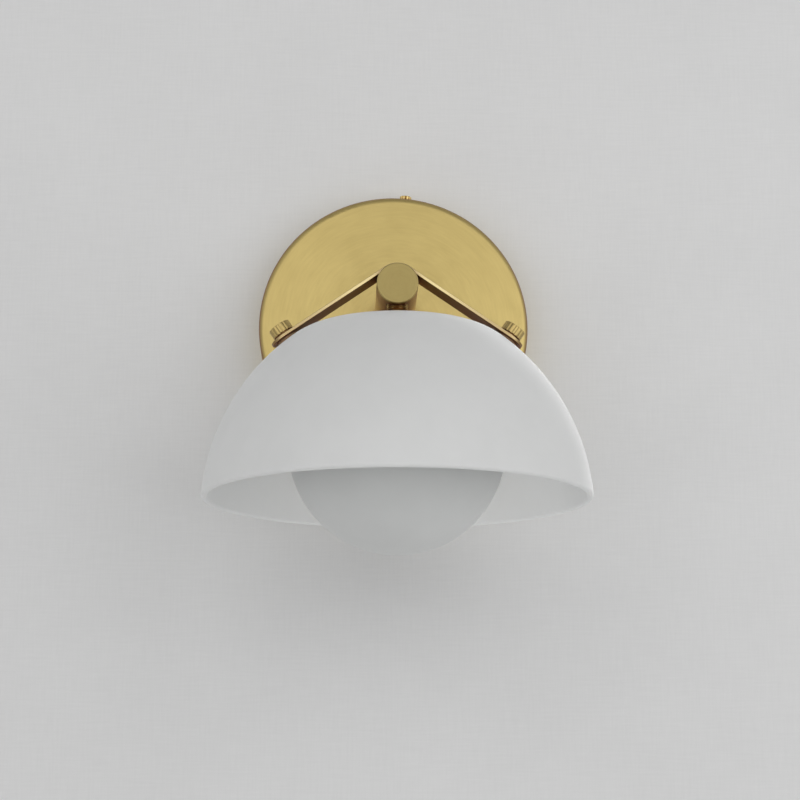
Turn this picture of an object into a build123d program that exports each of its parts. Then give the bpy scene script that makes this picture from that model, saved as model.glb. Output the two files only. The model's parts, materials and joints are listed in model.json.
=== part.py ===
from build123d import *
import os
from math import acos, asin, atan, cos, degrees, radians, sin, sqrt, tan

# Wall sconce. A round canopy holds a tube that stands straight out of the wall. A flat bar, bent to a
# shallow inverted V, is let into the tube's front end, and its two thumb screws carry an opal glass dome,
# mouth down. A hollow stem through the dome's crown holds a fitter cup, into which an opal globe screws
# round a capsule lamp.
#
# Millimetres and degrees. The origin is the canopy's centre on the wall plane: X right, Y into the wall,
# Z up.

# --------------------------------------------------------------------------------------------------
# Driving dimensions
# --------------------------------------------------------------------------------------------------

# Fits
running_clearance = 0.05  # radial, a screw in its own thread or a nut on its nipple
seat_clearance = 0.02  # radial, a plug pushed into a tube
hole_clearance = 0.3  # radial, a plain hole round a screw or a nipple
slot_clearance = 0.1  # round the yoke, where it is let into the post
end_clearance = 0.4  # past the end of a screw in its blind hole

# Canopy
canopy_radius = 66.0
canopy_depth = 22.0
canopy_wall = 1.0
canopy_edge_radius = 3.0

# Mounting bar, its ground screw and the canopy's side screws
bar_width = 20.0
bar_thickness = 1.5
bar_bend_radius = 1.0
bar_corner_radius = 2.5
bar_ear_gap = 0.4  # between an ear's corners and the canopy's inside
box_screw_circle = 88.9
box_hole_radius = 2.4
box_slot_circle = 62.0
box_slot_length = 13.0
feed_hole_radius = 7.0
ground_screw_offset = 15.5
ground_screw_radius = 1.9
ground_head_radius = 4.0
ground_head_height = 2.6
ground_head_edge = 0.9
ground_slot_width = 1.0
ground_slot_depth = 1.2
side_screw_tilt = 5.2  # the bar and the side screws stand this far off the vertical
side_screw_depth = 14.0  # wall to the side screws' axes
side_screw_radius = 1.75
side_screw_reach = 6.4  # below the canopy's outside
side_head_radius = 2.9
side_head_height = 2.1
side_head_chamfer = 0.3
side_washer_radius = 3.4
side_washer_thickness = 0.4
knurl_count = 14
knurl_depth = 0.3

# Post: a tube with a bush in its rear end and a block in its front end
post_radius = 9.525
post_wall = 1.5
bush_length = 12.0
cap_thickness = 2.4
cap_edge_radius = 0.5
cap_stud_radius = 2.0
cap_stud_length = 3.0
block_tail = 10.0  # block behind the yoke

# Nipples: threaded tube for the post's root and for the stem
nipple_radius = 4.85
nipple_bore_radius = 3.3
nipple_in_bush = 10.0
nipple_tail = 1.0  # past its nut
post_washer_radius = 10.0
post_washer_thickness = 1.2
nut_across_flats = 14.0
nut_thickness = 2.5
nut_crest_radius = 6.7
nut_crest_angle = 30.0

# Yoke: a flat bar bent over the post
canopy_gap = 1.03  # from the dome's back to the canopy's lower front edge
yoke_width = 15.0
yoke_thickness = 1.5
yoke_slope = 34.4
yoke_stand = 0.6  # its crown above the post
yoke_hole_span = 102.6  # between the thumb screws' holes, on the upper face
yoke_edge_round = 0.3
yoke_screw_radius = 1.5
yoke_screw_length = 5.0
yoke_screw_head_radius = 2.6
yoke_screw_head_height = 1.1
yoke_screw_recess = 0.4  # head below the crown's ridge
yoke_screw_slot_width = 0.7
yoke_screw_slot_depth = 0.5

# Thumb screws and what they hold
thumb_radius = 5.2
thumb_height = 4.1
thumb_edge_chamfer = 0.2
thumb_flutes = 12
thumb_flute_radius = 0.75
thumb_flute_depth = 0.3
thumb_shoulder_radius = 3.2
thumb_shoulder_height = 0.7
thumb_washer_radius = 4.2
thumb_washer_thickness = 0.6
thumb_shank_radius = 2.0
thumb_in_nut = 5.0  # shank inside its cap nut
cap_nut_across_flats = 7.0
cap_nut_hex_height = 3.2
cap_nut_dome_radius = 3.2
cap_nut_floor = 1.0
nut_washer_radius = 4.8
nut_washer_thickness = 0.6
grommet_radius = 5.0
grommet_flange = 1.63
grommet_neck_radius = 3.9
grommet_inner_flange = 1.2

# Opal glass dome: a nearly flat crown, a round shoulder and a steep side
rim_radius = 88.9
dome_wall = 3.0
rim_round = 1.4
crown_bow_radius = 426.0
crown_slope = 4.1
shoulder_radius = 35.7
shoulder_slope = 37.8
rim_slope = 85.8
profile_steps = 6  # points along the shoulder, and again along the side

# Stem and fitter, down the dome's axis
stem_in_block = 4.5
crown_gasket_thickness = 1.0
crown_gasket_radius = 8.5
collar_radius = 7.0
collar_height = 4.3
collar_chamfer = 0.4
fitter_wall = 1.3
fitter_edge_radius = 1.6
fitter_depth = 7.2
neck_clearance = 0.35  # radial, the globe's neck in the fitter
stem_tail = 1.0  # past the holder's bracket

# Opal globe
globe_radius = 49.4
globe_wall = 2.5
neck_radius = 19.5
neck_length = 5.5  # from the lip to the ball
neck_blend_radius = 0.8
neck_gasket_thickness = 1.0

# Lampholder and capsule lamp
bracket_width = 14.0
bracket_thickness = 1.2
bracket_leg = 9.5
bracket_bend_radius = 0.8
holder_radius = 9.0
holder_height = 20.0
holder_headroom = 4.0  # bracket to the holder's top
holder_edge_chamfer = 0.8
holder_screw_drop = 2.4  # the screws' axis below the holder's top
holder_screw_radius = 1.25
holder_screw_reach = 3.0
holder_head_radius = 2.2
holder_head_height = 1.3
pin_spacing = 9.0
pin_loop_width = 3.4
pin_wire = 0.8
pin_length = 7.5
pin_slot_clearance = 0.5
lamp_seat_gap = 0.4
lamp_base_width = 14.6
lamp_base_thickness = 6.0
lamp_base_height = 11.0
lamp_base_round = 1.2
lamp_radius = 6.6
lamp_wall = 0.9
lamp_length = 26.0

# Leads and their screw-on connectors
lead_radius = 1.0
lead_half_spacing = 1.4
lead_elbow_radius = 4.0
lead_turn_room = 5.5  # from the nipple's end to the leads' turn
lead_in_holder = 3.0
connector_start = 17.0  # from the post's axis
connector_length = 17.0
connector_mouth_radius = 5.0
connector_tip_radius = 3.4
connector_tip_round = 1.2
connector_bore_radius = 2.2
connector_entry = 8.0
connector_flutes = 10
connector_flute_radius = 0.7

# --------------------------------------------------------------------------------------------------
# Worked-out places
# --------------------------------------------------------------------------------------------------

UP = Vector(0, 0, 1)
WALLWARD = Vector(0, 1, 0)
SIDES = {"left": -1, "right": 1}
ENDS = {"top": 1, "bottom": -1}

post_bore = post_radius - post_wall
yoke_crown_radius = post_radius + yoke_stand
yoke_roof_radius = yoke_crown_radius - yoke_thickness
canopy_inside = canopy_depth - canopy_wall
nipple_foot = canopy_inside - post_washer_thickness - nut_thickness - nipple_tail

slope = radians(yoke_slope)
yoke_hole_height = yoke_crown_radius / cos(slope) - yoke_hole_span / 2 * tan(slope)
yoke_arm = (yoke_hole_span / 2 - yoke_crown_radius * sin(slope)) / cos(slope)

bow, shoulder, rim = radians(crown_slope), radians(shoulder_slope), radians(rim_slope)
bow_end = crown_bow_radius * sin(bow)
bow_fall = crown_bow_radius * (1 - cos(bow))
shoulder_end = bow_end + shoulder_radius * (sin(shoulder) - sin(bow))
shoulder_fall = bow_fall + shoulder_radius * (cos(bow) - cos(shoulder))
side_radius = (rim_radius - shoulder_end) / (sin(rim) - sin(shoulder))


def dome_tilt(radius):
    """Slope of the dome's outside at a radius."""
    if radius <= bow_end:
        return asin(radius / crown_bow_radius)
    if radius <= shoulder_end:
        return asin(sin(bow) + (radius - bow_end) / shoulder_radius)
    return asin(sin(shoulder) + (radius - shoulder_end) / side_radius)


def dome_fall(tilt):
    """How far the dome's outside lies below its crown, where it has a slope."""
    if tilt <= bow:
        return crown_bow_radius * (1 - cos(tilt))
    if tilt <= shoulder:
        return bow_fall + shoulder_radius * (cos(bow) - cos(tilt))
    return shoulder_fall + side_radius * (cos(shoulder) - cos(tilt))


def dome_reach(tilt):
    """The radius at which the dome's outside has a slope, beyond its crown."""
    if tilt <= shoulder:
        return bow_end + shoulder_radius * (sin(tilt) - sin(bow))
    return shoulder_end + side_radius * (sin(tilt) - sin(shoulder))


def dome_radius_below(fall):
    """The radius of the dome's side at a depth below its crown."""
    tilt = acos(cos(shoulder) - (fall - shoulder_fall) / side_radius)
    return dome_reach(min(tilt, rim))


# The dome hangs where its side meets the grommets under the yoke.
seat_depth = yoke_thickness + grommet_flange
seat_radius = yoke_hole_span / 2 - seat_depth * sin(slope)
crown_height = yoke_hole_height - seat_depth * cos(slope) + dome_fall(dome_tilt(seat_radius))

# The dome's axis stands as far from the wall as its back needs to clear the canopy.
shade_reach = canopy_depth + canopy_gap + dome_radius_below(crown_height + canopy_radius)
yoke_front = shade_reach + yoke_width / 2
yoke_back = shade_reach - yoke_width / 2
block_front = yoke_front + slot_clearance
block_back = yoke_back - block_tail

# Heights along a thumb screw's axis, from the yoke's upper face.
thumb_head_foot = thumb_washer_thickness + thumb_shoulder_height
nut_washer_top = -seat_depth - dome_wall - grommet_inner_flange
cap_nut_top = nut_washer_top - nut_washer_thickness
thumb_shank_foot = cap_nut_top - thumb_in_nut
cap_nut_end = thumb_shank_foot - end_clearance - cap_nut_floor

# The stem's stack, from the crown up and down.
collar_foot = crown_height + crown_gasket_thickness
crown_underside = crown_height - dome_wall
fitter_top = crown_underside - crown_gasket_thickness
fitter_underside = fitter_top - fitter_wall
stem_nut_underside = fitter_underside - nut_thickness
bracket_underside = stem_nut_underside - bracket_thickness
stem_foot = bracket_underside - stem_tail
stem_top = stem_in_block - post_bore
holder_top = bracket_underside - holder_headroom
holder_foot = holder_top - holder_height
lamp_top = holder_foot - lamp_seat_gap
lamp_neck = lamp_top - lamp_base_height

# The globe hangs by its neck, its lip against the fitter's gasket.
neck_lip = fitter_underside - neck_gasket_thickness
ball_top = neck_lip - neck_length
globe_centre = ball_top - sqrt(globe_radius**2 - neck_radius**2)
fitter_radius = neck_radius + neck_clearance + fitter_wall

lead_turn = nipple_foot - lead_turn_room

shade_centre = Vector(0, -shade_reach, 0)
shade_axis = Axis(shade_centre, UP)


def from_wall(distance):
    """Plane parallel to the wall, facing the room: x right, y up."""
    return Plane.XZ.offset(distance)


def across(foot, axis, height=0.0):
    """Plane square to an axis, with its normal along it, height above the foot."""
    return Plane(origin=foot + axis * height, x_dir=WALLWARD, z_dir=axis)


def along(foot, axis):
    """Plane through an axis: x is the distance from it, y the height above the foot."""
    return Plane(origin=foot, x_dir=WALLWARD, z_dir=WALLWARD.cross(axis))


def thumb_line(side):
    """Foot, on the yoke's upper face, and outward axis of one thumb screw."""
    foot = Vector(side * yoke_hole_span / 2, -shade_reach, yoke_hole_height)
    return foot, Vector(side * sin(slope), 0, cos(slope))


def side_screw_line(end):
    """Foot, on the canopy's outside, and outward axis of one side screw."""
    tilt = radians(side_screw_tilt)
    axis = Vector(sin(tilt), 0, cos(tilt)) * end
    return Vector(0, -side_screw_depth, 0) + axis * canopy_radius, axis


def ring(plane, outer, inner, height):
    """A flat ring standing on a plane."""
    with BuildPart() as body:
        with BuildSketch(plane):
            Circle(outer)
            Circle(inner, mode=Mode.SUBTRACT)
        extrude(amount=height)
    return body


def hex_nut(plane):
    """A nut on a nipple, standing on a plane, its far corners turned off."""
    spread = nut_thickness / tan(radians(nut_crest_angle))
    with BuildPart() as nut:
        with BuildSketch(plane):
            RegularPolygon(nut_across_flats / 2, 6, major_radius=False)
        extrude(amount=nut_thickness)
        with Locations(plane):
            Cone(
                nut_crest_radius + spread,
                nut_crest_radius,
                nut_thickness,
                align=(Align.CENTER, Align.CENTER, Align.MIN),
                mode=Mode.INTERSECT,
            )
        with BuildSketch(plane):
            Circle(nipple_radius + running_clearance)
        extrude(amount=nut_thickness, mode=Mode.SUBTRACT)
    return nut


def save(piece, name):
    """Labels a finished sub-part and writes its file."""
    piece.part.label = name
    export_step(piece.part, f"parts/{name}.step")


os.makedirs("parts", exist_ok=True)

# --------------------------------------------------------------------------------------------------
# Canopy and mounting bar
# --------------------------------------------------------------------------------------------------

with BuildPart() as canopy:
    with BuildSketch(Plane.YZ):
        with BuildLine():
            FilletPolyline(
                (-canopy_depth, nipple_radius + hole_clearance),
                (-canopy_depth, canopy_radius),
                (0, canopy_radius),
                radius=canopy_edge_radius,
            )
            offset(amount=canopy_wall, side=Side.RIGHT)
        make_face()
    revolve(axis=Axis.Y)
    for end in ENDS.values():
        foot, axis = side_screw_line(end)
        with BuildSketch(across(foot, axis)):
            Circle(side_screw_radius + hole_clearance)
        extrude(amount=2 * canopy_wall, both=True, mode=Mode.SUBTRACT)
save(canopy, "canopy")

# The bar lies on the wall, and its two ears turn forward inside the canopy to take the side screws.
bar_tilt = radians(side_screw_tilt)
bar_side = Vector(cos(bar_tilt), 0, -sin(bar_tilt))
bar_edge_view = Plane(origin=(0, 0, 0), x_dir=WALLWARD, z_dir=bar_side)
bar_back = Plane(origin=(0, 0, 0), x_dir=bar_side, z_dir=-WALLWARD)
ear_outside = sqrt((canopy_radius - canopy_wall - bar_ear_gap) ** 2 - (bar_width / 2) ** 2)
ear_front = side_screw_depth + side_screw_radius + bar_corner_radius

with BuildPart() as mounting_bar:
    with BuildSketch(bar_edge_view):
        with BuildLine():
            FilletPolyline(
                (-ear_front, ear_outside),
                (0, ear_outside),
                (0, -ear_outside),
                (-ear_front, -ear_outside),
                radius=bar_bend_radius + bar_thickness,
            )
            offset(amount=bar_thickness, side=Side.RIGHT)
        make_face()
    extrude(amount=bar_width / 2, both=True)
    ear_corners = edges().filter_by(Axis((0, 0, 0), bar_back.y_dir)).group_by(Axis.Y)[0]
    fillet(ear_corners, bar_corner_radius)
    with BuildSketch(bar_back):
        Circle(feed_hole_radius)
        with PolarLocations(box_screw_circle / 2, len(ENDS), start_angle=90):
            Circle(box_hole_radius)
        with PolarLocations(box_slot_circle / 2, len(ENDS), start_angle=90):
            SlotOverall(box_slot_length, 2 * box_hole_radius)
        with Locations((0, ground_screw_offset)):
            Circle(ground_screw_radius)
    extrude(amount=bar_thickness, mode=Mode.SUBTRACT)
    for end in ENDS.values():
        foot, axis = side_screw_line(end)
        with BuildSketch(across(foot, axis)):
            Circle(side_screw_radius + running_clearance)
        extrude(amount=-side_screw_reach, mode=Mode.SUBTRACT)
save(mounting_bar, "mounting_bar")

ground_seat = bar_back.offset(bar_thickness).shift_origin(
    bar_back.from_local_coords((0, ground_screw_offset, bar_thickness))
)

with BuildPart() as ground_screw:
    with BuildSketch(ground_seat):
        Circle(ground_head_radius)
    extrude(amount=ground_head_height)
    fillet(faces().sort_by(Axis.Y)[0].edges(), ground_head_edge)
    with BuildSketch(ground_seat.offset(ground_head_height)):
        Rectangle(3 * ground_head_radius, ground_slot_width)
    extrude(amount=-ground_slot_depth, mode=Mode.SUBTRACT)
    with BuildSketch(ground_seat):
        Circle(ground_screw_radius)
    extrude(amount=-bar_thickness)
save(ground_screw, "ground_screw")

for name, end in ENDS.items():
    foot, axis = side_screw_line(end)
    washer_seat = across(foot, axis)
    head_seat = across(foot, axis, side_washer_thickness)
    washer_bore = side_screw_radius + hole_clearance
    save(
        ring(washer_seat, side_washer_radius, washer_bore, side_washer_thickness),
        f"canopy_screw_washer_{name}",
    )

    with BuildPart() as side_screw:
        with BuildSketch(head_seat):
            Circle(side_head_radius)
        extrude(amount=side_head_height)
        chamfer(edges().filter_by(GeomType.CIRCLE), side_head_chamfer)
        with BuildSketch(head_seat):
            with PolarLocations(side_head_radius, knurl_count):
                Rectangle(sqrt(2) * knurl_depth, sqrt(2) * knurl_depth, rotation=45)
        extrude(amount=side_head_height, mode=Mode.SUBTRACT)
        with BuildSketch(head_seat):
            Circle(side_screw_radius)
        extrude(amount=-side_washer_thickness - side_screw_reach)
    save(side_screw, f"canopy_screw_{name}")

# --------------------------------------------------------------------------------------------------
# Post
# --------------------------------------------------------------------------------------------------

# The notch's form, cut in the tube from its front end: everything above the yoke's underside.
notch_roof = yoke_roof_radius - slot_clearance
notch_arm = Vector(cos(slope), -sin(slope)) * 2 * post_radius
notch_top = 2 * post_radius

with BuildPart() as notch:
    with BuildSketch(from_wall(block_front)):
        with BuildLine():
            roof = CenterArc((0, 0), notch_roof, 90 - yoke_slope, 2 * yoke_slope)
            left_end = roof @ 1 + Vector(-notch_arm.X, notch_arm.Y)
            right_end = roof @ 0 + notch_arm
            upper_corners = [(left_end.X, notch_top), (right_end.X, notch_top)]
            Polyline(roof @ 1, left_end, *upper_corners, right_end, roof @ 0)
        make_face()
    extrude(amount=-(block_front - yoke_back + slot_clearance))

with BuildPart() as post_tube:
    with BuildSketch(from_wall(canopy_depth)):
        Circle(post_radius)
        Circle(post_bore, mode=Mode.SUBTRACT)
    extrude(amount=block_front - canopy_depth)
    add(notch.part, mode=Mode.SUBTRACT)
    with BuildSketch(across(shade_centre, UP)):
        Circle(yoke_screw_radius + hole_clearance)
    extrude(amount=2 * post_radius, mode=Mode.SUBTRACT)
    with BuildSketch(across(shade_centre, UP)):
        Circle(nipple_radius + hole_clearance)
    extrude(amount=-2 * post_radius, mode=Mode.SUBTRACT)
save(post_tube, "post_tube")

with BuildPart() as post_bush:
    with BuildSketch(from_wall(canopy_depth)):
        Circle(post_bore - seat_clearance)
        Circle(nipple_radius + running_clearance, mode=Mode.SUBTRACT)
    extrude(amount=bush_length)
save(post_bush, "post_bush")

with BuildPart() as post_nipple:
    with BuildSketch(from_wall(nipple_foot)):
        Circle(nipple_radius)
        Circle(nipple_bore_radius, mode=Mode.SUBTRACT)
    extrude(amount=canopy_depth + nipple_in_bush - nipple_foot)
save(post_nipple, "post_nipple")

post_washer_seat = from_wall(canopy_inside - post_washer_thickness)
save(
    ring(post_washer_seat, post_washer_radius, nipple_radius + hole_clearance, post_washer_thickness),
    "post_washer",
)
save(hex_nut(-post_washer_seat), "post_lock_nut")

with BuildPart() as post_cap:
    with BuildSketch(from_wall(block_front)):
        Circle(post_radius)
    extrude(amount=cap_thickness)
    fillet(faces().sort_by(Axis.Y)[0].edges(), cap_edge_radius)
    with BuildSketch(from_wall(block_front)):
        Circle(cap_stud_radius)
    extrude(amount=-cap_stud_length)
save(post_cap, "post_cap")

yoke_screw_top = yoke_crown_radius - yoke_screw_recess

with BuildPart() as yoke_screw:
    with BuildSketch(along(shade_centre, UP)):
        with BuildLine():
            Polyline(
                (0, yoke_screw_top),
                (yoke_screw_head_radius, yoke_screw_top),
                (yoke_screw_radius, yoke_screw_top - yoke_screw_head_height),
                (yoke_screw_radius, yoke_screw_top - yoke_screw_length),
                (0, yoke_screw_top - yoke_screw_length),
                close=True,
            )
        make_face()
    revolve(axis=shade_axis)
    with BuildSketch(across(shade_centre, UP, yoke_screw_top)):
        Rectangle(yoke_screw_slot_width, 3 * yoke_screw_head_radius)
    extrude(amount=-yoke_screw_slot_depth, mode=Mode.SUBTRACT)
save(yoke_screw, "yoke_screw")

with BuildPart() as yoke_block:
    with BuildSketch(from_wall(block_back)):
        Circle(post_bore - seat_clearance)
    extrude(amount=block_front - block_back)
    # tapped for the cap's stud, in front
    with BuildSketch(from_wall(block_front)):
        Circle(cap_stud_radius + running_clearance)
    extrude(amount=-cap_stud_length - end_clearance, mode=Mode.SUBTRACT)
    # the leads' elbow: in from the tube behind, down through the stem
    with BuildSketch(from_wall(block_back)):
        Circle(nipple_bore_radius)
    extrude(amount=shade_reach - block_back, mode=Mode.SUBTRACT)
    with BuildSketch(across(shade_centre, UP)):
        Circle(nipple_bore_radius)
    extrude(amount=-post_radius, mode=Mode.SUBTRACT)
    # tapped for the stem, from below, and for the yoke's screw, from above
    with BuildSketch(across(shade_centre, UP, stem_top)):
        Circle(nipple_radius + running_clearance)
    extrude(amount=-post_radius, mode=Mode.SUBTRACT)
    with BuildSketch(across(shade_centre, UP, yoke_screw_top - yoke_screw_length - end_clearance)):
        Circle(yoke_screw_radius + running_clearance)
    extrude(amount=post_radius, mode=Mode.SUBTRACT)
save(yoke_block, "yoke_block")

# --------------------------------------------------------------------------------------------------
# Yoke: its crown is bent over the post, and its arms leave the bend at a tangent
# --------------------------------------------------------------------------------------------------

with BuildPart() as yoke:
    with BuildSketch(from_wall(yoke_front)):
        with BuildLine():
            crown_top = CenterArc((0, 0), yoke_crown_radius, 90 - yoke_slope, 2 * yoke_slope)
            crown_under = CenterArc((0, 0), yoke_roof_radius, 90 - yoke_slope, 2 * yoke_slope)
            Line(crown_top @ 0, crown_under @ 0)
            Line(crown_top @ 1, crown_under @ 1)
        make_face()
    extrude(amount=-yoke_width)
    for side in SIDES.values():
        foot, axis = thumb_line(side)
        with BuildSketch(across(foot, axis)):
            Circle(yoke_width / 2)
            with Locations((0, side * yoke_arm / 2)):
                Rectangle(yoke_width, yoke_arm)
        extrude(amount=-yoke_thickness)
    long_edges = edges().filter_by(Axis.Y, reverse=True).filter_by(lambda e: e.length > 2 * yoke_thickness)
    fillet(long_edges, yoke_edge_round)
    for side in SIDES.values():
        foot, axis = thumb_line(side)
        with BuildSketch(across(foot, axis)):
            Circle(thumb_shank_radius + hole_clearance)
        extrude(amount=-yoke_thickness, mode=Mode.SUBTRACT)
    add(yoke_screw.part, mode=Mode.SUBTRACT)
    with BuildSketch(across(shade_centre, UP, yoke_screw_top - yoke_screw_slot_depth)):
        Circle(yoke_screw_radius)
    extrude(amount=yoke_thickness, mode=Mode.SUBTRACT)
    with BuildSketch(across(shade_centre, UP, yoke_screw_top)):
        Circle(yoke_screw_head_radius)
    extrude(amount=yoke_thickness, mode=Mode.SUBTRACT)
save(yoke, "yoke")

# --------------------------------------------------------------------------------------------------
# Opal glass dome, its grommets and thumb screws
# --------------------------------------------------------------------------------------------------

def dome_profile(depth):
    """The crown's arc, and the shoulder and side as one curve, at a depth in the glass."""
    steps = profile_steps
    tilts = [bow + (shoulder - bow) * step / steps for step in range(steps)]
    tilts += [shoulder + (rim - shoulder) * step / steps for step in range(steps + 1)]
    points = [
        (dome_reach(tilt) - depth * sin(tilt), crown_height - dome_fall(tilt) - depth * cos(tilt))
        for tilt in tilts
    ]
    directions = [(cos(tilt), -sin(tilt)) for tilt in tilts]
    crown = JernArc((0, crown_height - depth), (1, 0), crown_bow_radius - depth, -crown_slope)
    return crown, Spline(*points, tangents=directions)


with BuildPart() as dome_shade:
    with BuildSketch(along(shade_centre, UP)):
        with BuildLine():
            outer_crown, outer_side = dome_profile(0)
            inner_crown, inner_side = dome_profile(dome_wall)
            Line(outer_crown @ 0, inner_crown @ 0)
            Line(outer_side @ 1, inner_side @ 1)
        make_face()
        fillet(vertices().sort_by(Axis.X)[-2:], rim_round)
    revolve(axis=shade_axis)
    with BuildSketch(across(shade_centre, UP, crown_height)):
        Circle(nipple_radius + hole_clearance)
    extrude(amount=2 * dome_wall, both=True, mode=Mode.SUBTRACT)
    for side in SIDES.values():
        foot, axis = thumb_line(side)
        with BuildSketch(across(foot, axis)):
            Circle(grommet_neck_radius)
        extrude(amount=cap_nut_end, mode=Mode.SUBTRACT)
save(dome_shade, "dome_shade")

for name, side in SIDES.items():
    foot, axis = thumb_line(side)

    with BuildPart() as grommet:
        with BuildSketch(across(foot, axis, -yoke_thickness)):
            Circle(grommet_radius)
            Circle(thumb_shank_radius + hole_clearance, mode=Mode.SUBTRACT)
        extrude(amount=nut_washer_top + yoke_thickness)
        add(dome_shade.part, mode=Mode.SUBTRACT)
    save(grommet, f"dome_grommet_{name}")

    nut_washer_seat = across(foot, axis, cap_nut_top)
    thumb_bore = thumb_shank_radius + hole_clearance
    save(
        ring(nut_washer_seat, nut_washer_radius, thumb_bore, nut_washer_thickness),
        f"dome_nut_washer_{name}",
    )

    with BuildPart() as cap_nut:
        with BuildSketch(nut_washer_seat):
            RegularPolygon(cap_nut_across_flats / 2, 6, major_radius=False)
        extrude(amount=-cap_nut_hex_height)
        with BuildSketch(along(foot, axis)):
            with BuildLine():
                rise = JernArc((0, cap_nut_end), (1, 0), cap_nut_dome_radius, 90)
                Polyline(rise @ 1, (cap_nut_dome_radius, cap_nut_top), (0, cap_nut_top), (0, cap_nut_end))
            make_face()
        revolve(axis=Axis(foot, axis))
        with BuildSketch(nut_washer_seat):
            Circle(thumb_shank_radius + running_clearance)
        extrude(amount=-thumb_in_nut - end_clearance, mode=Mode.SUBTRACT)
    save(cap_nut, f"dome_cap_nut_{name}")

    save(
        ring(across(foot, axis), thumb_washer_radius, thumb_bore, thumb_washer_thickness),
        f"thumb_washer_{name}",
    )

    with BuildPart() as thumb_screw:
        with BuildSketch(across(foot, axis, thumb_head_foot)):
            Circle(thumb_radius)
        extrude(amount=thumb_height)
        chamfer(edges().filter_by(GeomType.CIRCLE), thumb_edge_chamfer)
        with BuildSketch(across(foot, axis, thumb_head_foot)):
            with PolarLocations(thumb_radius + thumb_flute_radius - thumb_flute_depth, thumb_flutes):
                Circle(thumb_flute_radius)
        extrude(amount=thumb_height, mode=Mode.SUBTRACT)
        with BuildSketch(across(foot, axis, thumb_washer_thickness)):
            Circle(thumb_shoulder_radius)
        extrude(amount=thumb_shoulder_height)
        with BuildSketch(across(foot, axis, thumb_shank_foot)):
            Circle(thumb_shank_radius)
        extrude(amount=thumb_washer_thickness - thumb_shank_foot)
    save(thumb_screw, f"thumb_screw_{name}")

# --------------------------------------------------------------------------------------------------
# Stem, collar and fitter
# --------------------------------------------------------------------------------------------------

stem_seat = across(shade_centre, UP, stem_foot)
save(ring(stem_seat, nipple_radius, nipple_bore_radius, stem_top - stem_foot), "stem")

with BuildPart() as stem_collar:
    with BuildSketch(across(shade_centre, UP, collar_foot)):
        Circle(collar_radius)
    extrude(amount=collar_height)
    chamfer(edges().filter_by(GeomType.CIRCLE), collar_chamfer)
    with BuildSketch(across(shade_centre, UP, collar_foot)):
        Circle(nipple_radius + running_clearance)
    extrude(amount=collar_height, mode=Mode.SUBTRACT)
save(stem_collar, "stem_collar")

# Each gasket is cut to the glass it lies on.
gasket_blank = crown_gasket_thickness + dome_wall / 2

for name, outer_face, outward in (("upper", collar_foot, -1), ("lower", fitter_top, 1)):
    with BuildPart() as crown_gasket:
        with BuildSketch(across(shade_centre, UP, outer_face)):
            Circle(crown_gasket_radius)
            Circle(nipple_radius + hole_clearance, mode=Mode.SUBTRACT)
        extrude(amount=outward * gasket_blank)
        add(dome_shade.part, mode=Mode.SUBTRACT)
    save(crown_gasket, f"crown_gasket_{name}")

with BuildPart() as globe_fitter:
    with BuildSketch(along(shade_centre, UP)):
        with BuildLine():
            FilletPolyline(
                (nipple_radius + hole_clearance, fitter_top),
                (fitter_radius, fitter_top),
                (fitter_radius, fitter_top - fitter_depth),
                radius=fitter_edge_radius,
            )
            offset(amount=fitter_wall, side=Side.RIGHT)
        make_face()
    revolve(axis=shade_axis)
save(globe_fitter, "globe_fitter")

save(hex_nut(across(shade_centre, -UP, -fitter_underside)), "stem_lock_nut")

# --------------------------------------------------------------------------------------------------
# Globe
# --------------------------------------------------------------------------------------------------

neck_bore = neck_radius - globe_wall
save(ring(across(shade_centre, UP, neck_lip), neck_radius, neck_bore, neck_gasket_thickness), "globe_gasket")

with BuildPart() as globe:
    with BuildSketch(along(shade_centre, UP)):
        with BuildLine():
            ball_turn = 90 + degrees(acos(neck_radius / globe_radius))
            ball = CenterArc((0, globe_centre), globe_radius, -90, ball_turn)
            Line(ball @ 1, (neck_radius, neck_lip))
            offset(amount=globe_wall, side=Side.LEFT)
        make_face()
        fillet(vertices().sort_by_distance((neck_radius, ball_top))[0], neck_blend_radius)
    revolve(axis=shade_axis)
save(globe, "globe")

# --------------------------------------------------------------------------------------------------
# Lampholder and lamp
# --------------------------------------------------------------------------------------------------

holder_screw_height = holder_top - holder_screw_drop
bracket_radius = holder_radius + bracket_thickness
bracket_foot = stem_nut_underside - bracket_leg


def holder_screw_plane(side, reach):
    """Plane square to one holder screw, facing outward, at a distance from the dome's axis."""
    centre = (side * reach, -shade_reach, holder_screw_height)
    return Plane(origin=centre, x_dir=WALLWARD, z_dir=(side, 0, 0))


with BuildPart() as lampholder_bracket:
    with BuildSketch(from_wall(shade_reach)):
        with BuildLine():
            FilletPolyline(
                (-bracket_radius, bracket_foot),
                (-bracket_radius, stem_nut_underside),
                (bracket_radius, stem_nut_underside),
                (bracket_radius, bracket_foot),
                radius=bracket_bend_radius + bracket_thickness,
            )
            offset(amount=bracket_thickness, side=Side.RIGHT)
        make_face()
    extrude(amount=bracket_width / 2, both=True)
    with BuildSketch(across(shade_centre, UP, bracket_underside)):
        Circle(nipple_radius + running_clearance)
    extrude(amount=bracket_thickness, mode=Mode.SUBTRACT)
    for side in SIDES.values():
        with BuildSketch(holder_screw_plane(side, bracket_radius)):
            Circle(holder_screw_radius + running_clearance)
        extrude(amount=-bracket_thickness, mode=Mode.SUBTRACT)
save(lampholder_bracket, "lampholder_bracket")

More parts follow.
